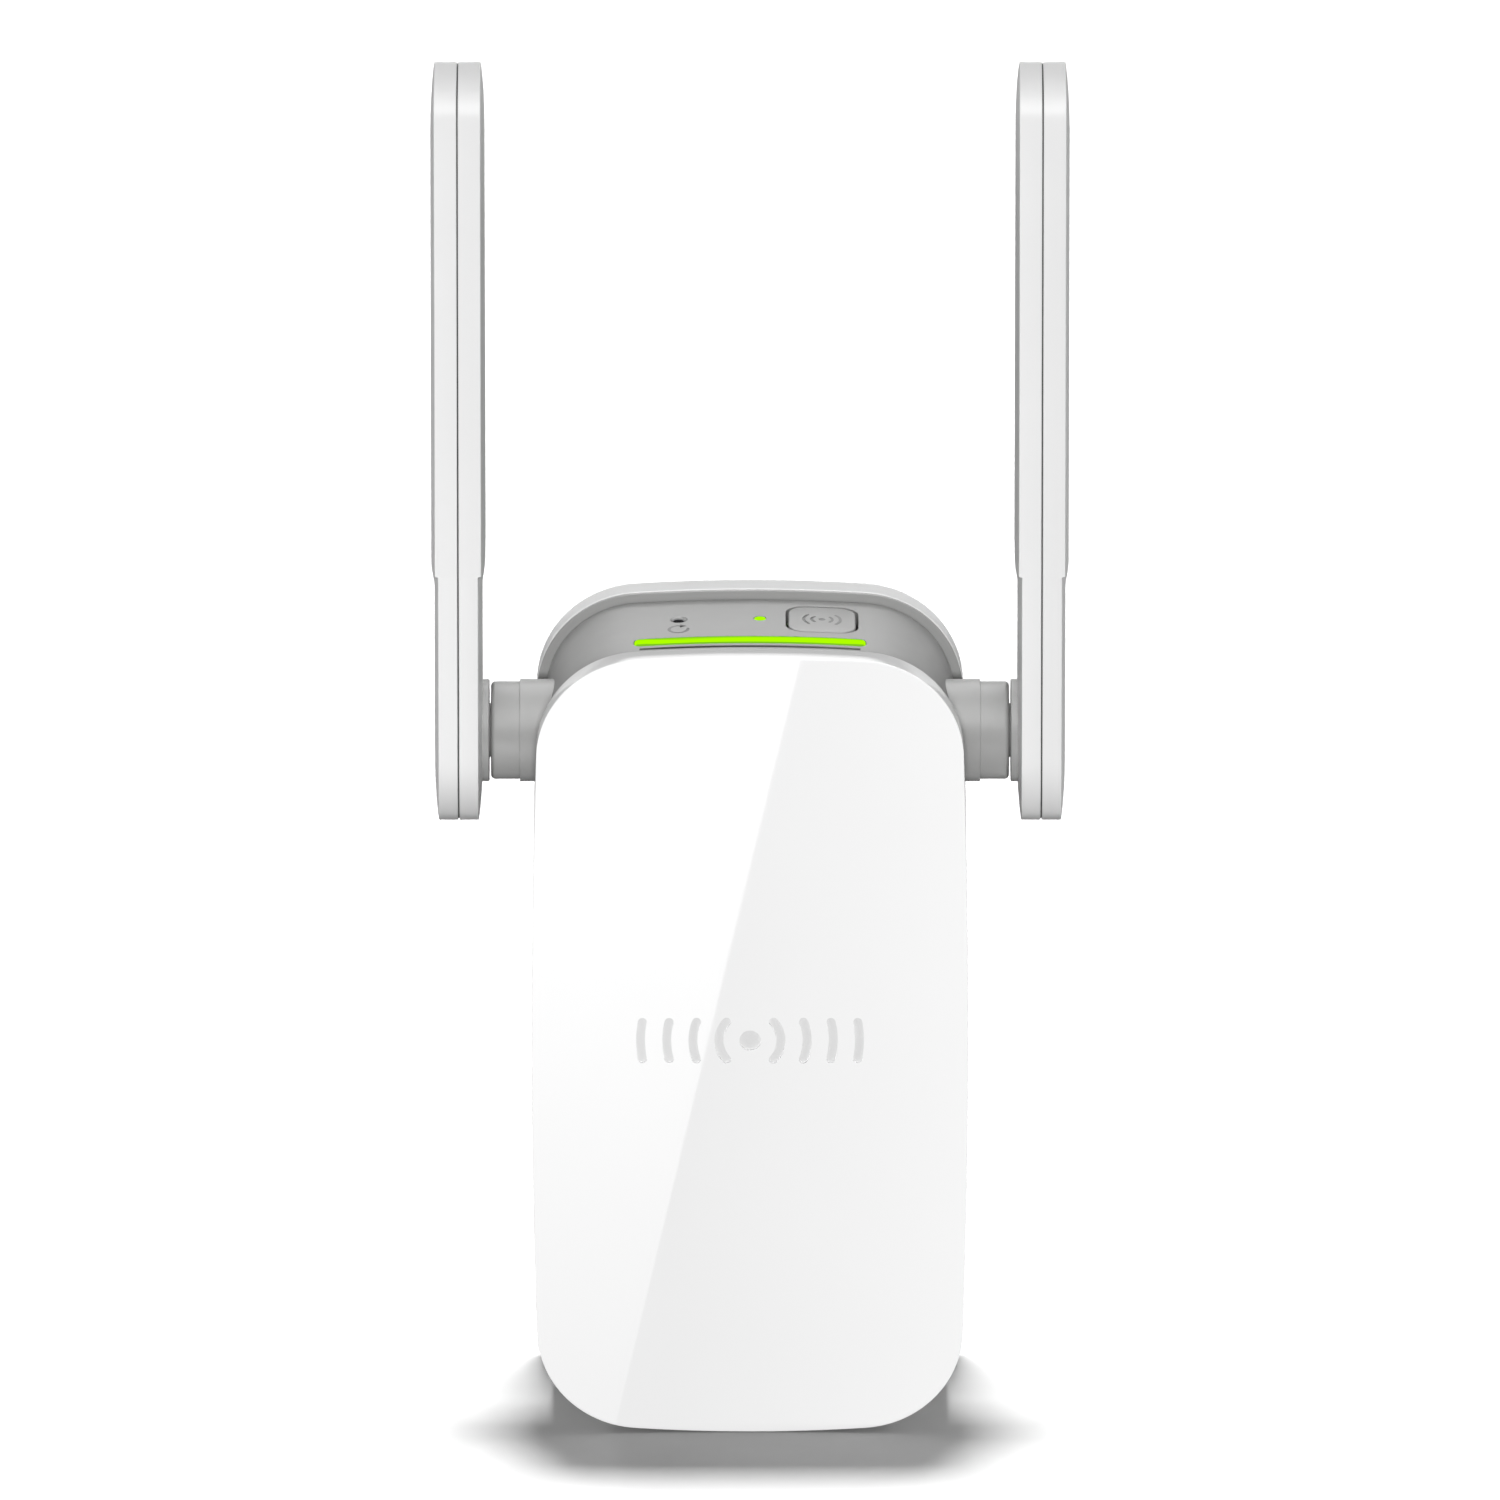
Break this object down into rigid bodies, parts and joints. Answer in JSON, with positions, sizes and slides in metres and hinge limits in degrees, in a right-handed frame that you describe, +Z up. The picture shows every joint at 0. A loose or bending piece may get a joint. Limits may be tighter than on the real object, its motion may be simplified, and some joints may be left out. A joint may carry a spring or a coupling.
{
  "type": "wifi range extender",
  "caption": "Plug-in wireless range extender: rounded white case on a grey frame, light bar and pairing button on top, network socket below, two folding antennas at the sides.",
  "frame": {"origin": "on the wall face of the rear cover, midway between the two plug blades", "axes": "+Y into the wall, along the plug blades; +Z up, the way the antennas point at rest; +X to the right seen from the front"},
  "size_m": [0.0802, 0.0448, 0.1778],
  "materials": {
    "gloss_white": "high gloss moulded ABS",
    "satin_white": "satin moulded ABS",
    "satin_grey": "satin moulded ABS with a fine texture",
    "green_lens": "lit translucent green light guide",
    "label": "blank foil rating label",
    "circuit_board": "green solder mask on glass-fibre board",
    "black_plastic": "black moulded plastic",
    "cream_plastic": "natural nylon",
    "capacitor_sleeve": "dark shrink sleeve",
    "yellow_tape": "yellow insulating tape",
    "ferrite": "sintered ferrite",
    "blue_epoxy": "blue dipped epoxy",
    "led_body": "moulded light-emitting diode package",
    "coax_jacket": "black thin coaxial jacket",
    "plating": "nickel-plated brass blade",
    "tin": "tin-plated steel sheet",
    "aluminium": "stamped aluminium",
    "gold": "gold-plated contact",
    "screw_steel": "zinc-plated steel"
  },
  "bodies": {
    "case": {"front_cover": "gloss_white", "middle_frame": "satin_grey", "rear_cover": "satin_white", "rear_label": "label", "light_bar": "green_lens", "status_lens": "green_lens", "ethernet_jack": "black_plastic", "plug_blade_left": "plating", "plug_blade_right": "plating", "hinge_barrel_left": "satin_grey", "hinge_barrel_right": "satin_grey", "case_screw_top_left": "screw_steel", "case_screw_top_right": "screw_steel", "case_screw_bottom_left": "screw_steel", "case_screw_bottom_right": "screw_steel", "main_board": "circuit_board", "shield_can": "tin", "heat_spreader": "aluminium", "ethernet_contacts": "gold", "power_board": "circuit_board", "transformer_core": "ferrite", "transformer_winding": "yellow_tape", "input_capacitor": "capacitor_sleeve", "output_capacitor": "capacitor_sleeve", "drum_choke": "ferrite", "mains_fuse": "cream_plastic", "safety_capacitor": "blue_epoxy", "blade_block": "black_plastic", "router_chip": "black_plastic", "flash_chip": "black_plastic", "network_transformer": "black_plastic", "light_bar_led_left": "led_body", "light_bar_led_right": "led_body", "status_led": "led_body", "board_link_header": "cream_plastic", "bridge_rectifier": "black_plastic", "optocoupler": "black_plastic", "board_coax_left": "coax_jacket", "board_coax_right": "coax_jacket", "coax_plug_left": "gold", "coax_plug_right": "gold", "pairing_switch_body": "black_plastic", "reset_switch_body": "black_plastic"},
    "pairing_button": {"pairing_button_cap": "satin_grey", "pairing_switch_stem": "cream_plastic"},
    "reset_plunger": {"reset_switch_stem": "cream_plastic"},
    "antenna_left": {"antenna_inner_shell_left": "satin_white", "antenna_outer_shell_left": "satin_white", "antenna_trunnion_left": "satin_grey", "antenna_radiator_left": "circuit_board", "antenna_coax_left": "coax_jacket", "retaining_clip_left": "screw_steel", "wave_washer_left": "screw_steel"},
    "antenna_right": {"antenna_inner_shell_right": "satin_white", "antenna_outer_shell_right": "satin_white", "antenna_trunnion_right": "satin_grey", "antenna_radiator_right": "circuit_board", "antenna_coax_right": "coax_jacket", "retaining_clip_right": "screw_steel", "wave_washer_right": "screw_steel"}
  },
  "joints": [
    {"name": "antenna_hinge_left", "type": "hinge", "parent": "case", "child": "antenna_left", "pos_m": [-0.0367, -0.014, 0.0374], "axis": [1, 0, 0], "range_deg": [0, 180]},
    {"name": "antenna_hinge_right", "type": "hinge", "parent": "case", "child": "antenna_right", "pos_m": [0.0367, -0.014, 0.0374], "axis": [1, 0, 0], "range_deg": [0, 180]},
    {"name": "pairing_button_press", "type": "slide", "parent": "case", "child": "pairing_button", "axis": [0, 0, -1], "range_m": [0, 0.0006], "stiffness_N_per_m": 1500, "springref_m": -0.0004},
    {"name": "reset_plunger_press", "type": "slide", "parent": "case", "child": "reset_plunger", "axis": [0, 0, -1], "range_m": [0, 0.0003], "stiffness_N_per_m": 1500, "springref_m": -0.0004}
  ]
}
